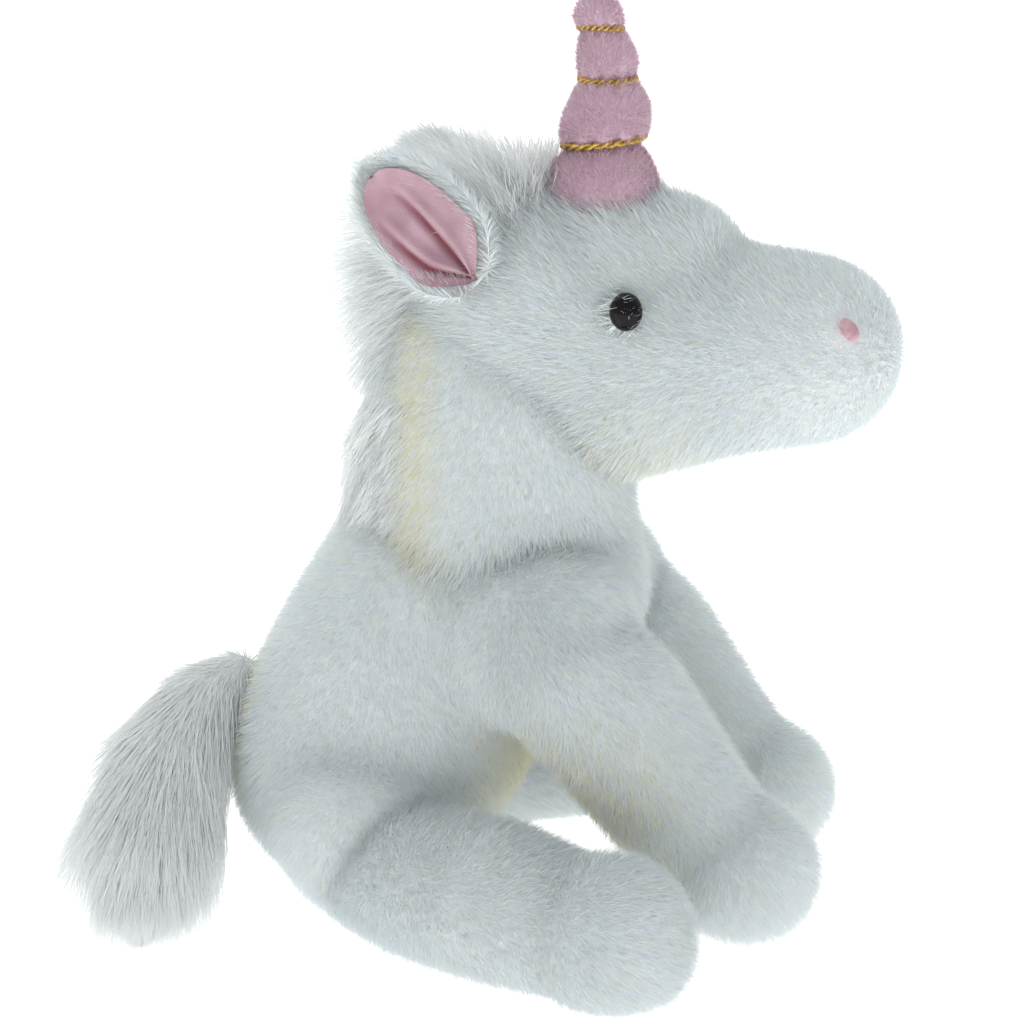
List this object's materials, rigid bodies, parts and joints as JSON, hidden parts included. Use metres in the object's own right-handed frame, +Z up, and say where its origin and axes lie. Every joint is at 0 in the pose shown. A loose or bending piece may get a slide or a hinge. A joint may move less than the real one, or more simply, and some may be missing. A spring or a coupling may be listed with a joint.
{
  "type": "plush unicorn",
  "caption": "Seated white plush unicorn toy with a soft pink horn wrapped in gold thread, pink-lined ears, a long-pile mane and tail, and floppy bean-filled legs.",
  "frame": {"origin": "middle of the toy's outline, on the surface that it sits on", "axes": "+Z up, +X the way the toy faces, +Y its left side"},
  "size_m": [0.2458, 0.2078, 0.2784],
  "materials": {
    "white_plush": "matte",
    "long_pile": "satin",
    "stuffing": "matte",
    "bean_bag": "matte",
    "washer": "satin",
    "eye": "gloss",
    "pink_satin": "satin",
    "horn_velour": "satin",
    "gold_thread": "satin"
  },
  "bodies": {
    "torso": {"body_panel_left": "white_plush", "body_panel_right": "white_plush", "body_stuffing": "stuffing", "seat_bean_bag": "bean_bag"},
    "neck": {"neck_mane": "long_pile", "neck_panel_left": "white_plush", "neck_panel_right": "white_plush", "neck_stuffing": "stuffing"},
    "head": {"eye_left": "eye", "eye_right": "eye", "eye_washer_left": "washer", "eye_washer_right": "washer", "forelock": "long_pile", "head_panel_left": "white_plush", "head_panel_right": "white_plush", "head_stuffing": "stuffing", "mane": "long_pile", "nostril_left": "pink_satin", "nostril_right": "pink_satin"},
    "horn": {"gold_thread_1": "gold_thread", "gold_thread_2": "gold_thread", "gold_thread_3": "gold_thread", "horn_cover": "horn_velour", "horn_stuffing": "stuffing"},
    "ear_left": {"ear_lining_left": "pink_satin", "ear_outer_left": "white_plush"},
    "ear_right": {"ear_lining_right": "pink_satin", "ear_outer_right": "white_plush"},
    "tail": {"tail_core": "stuffing", "tail_plume": "long_pile"},
    "front_leg_left": {"front_leg_left_bean_bag": "bean_bag", "front_leg_left_inner_panel": "white_plush", "front_leg_left_outer_panel": "white_plush", "front_leg_left_stuffing": "stuffing"},
    "front_leg_right": {"front_leg_right_bean_bag": "bean_bag", "front_leg_right_inner_panel": "white_plush", "front_leg_right_outer_panel": "white_plush", "front_leg_right_stuffing": "stuffing"},
    "hind_leg_left": {"hind_leg_left_bean_bag": "bean_bag", "hind_leg_left_inner_panel": "white_plush", "hind_leg_left_outer_panel": "white_plush", "hind_leg_left_stuffing": "stuffing"},
    "hind_leg_right": {"hind_leg_right_bean_bag": "bean_bag", "hind_leg_right_inner_panel": "white_plush", "hind_leg_right_outer_panel": "white_plush", "hind_leg_right_stuffing": "stuffing"}
  },
  "joints": [
    {"name": "neck_turn", "type": "hinge", "parent": "torso", "child": "neck", "pos_m": [0.00459, 0, 0.122], "axis": [0, 0, 1], "range_deg": [-25, 25], "stiffness_Nm_per_rad": 1},
    {"name": "head_nod", "type": "hinge", "parent": "neck", "child": "head", "pos_m": [0.00459, 0, 0.15], "axis": [0, 1, 0], "range_deg": [-12, 10], "stiffness_Nm_per_rad": 2},
    {"name": "horn_flex", "type": "hinge", "parent": "head", "child": "horn", "pos_m": [0.03659, 0, 0.21949], "axis": [0, 1, 0], "range_deg": [-12, 12], "stiffness_Nm_per_rad": 0.1},
    {"name": "ear_left_lift", "type": "hinge", "parent": "head", "child": "ear_left", "pos_m": [0.00859, 0.03538, 0.201], "axis": [-0.6428, 0, -0.766], "range_deg": [0, 45], "stiffness_Nm_per_rad": 0.1},
    {"name": "ear_right_lift", "type": "hinge", "parent": "head", "child": "ear_right", "pos_m": [0.00859, -0.03538, 0.201], "axis": [0.6428, 0, 0.766], "range_deg": [0, 45], "stiffness_Nm_per_rad": 0.1},
    {"name": "tail_lift", "type": "hinge", "parent": "torso", "child": "tail", "pos_m": [-0.07544, 0, 0.068], "axis": [0, 1, 0], "range_deg": [0, 60]},
    {"name": "front_leg_left_swing", "type": "hinge", "parent": "torso", "child": "front_leg_left", "pos_m": [0.02359, 0.03498, 0.093], "axis": [0, 1, 0], "range_deg": [-50, 0]},
    {"name": "front_leg_right_swing", "type": "hinge", "parent": "torso", "child": "front_leg_right", "pos_m": [0.02359, -0.03498, 0.093], "axis": [0, 1, 0], "range_deg": [-50, 0]},
    {"name": "hind_leg_left_splay", "type": "hinge", "parent": "torso", "child": "hind_leg_left", "pos_m": [-0.02941, 0.04196, 0.0318], "axis": [0, 0, 1], "range_deg": [0, 30], "stiffness_Nm_per_rad": 0.3},
    {"name": "hind_leg_right_splay", "type": "hinge", "parent": "torso", "child": "hind_leg_right", "pos_m": [-0.02941, -0.04196, 0.0318], "axis": [0, 0, 1], "range_deg": [-30, 0], "stiffness_Nm_per_rad": 0.3}
  ]
}
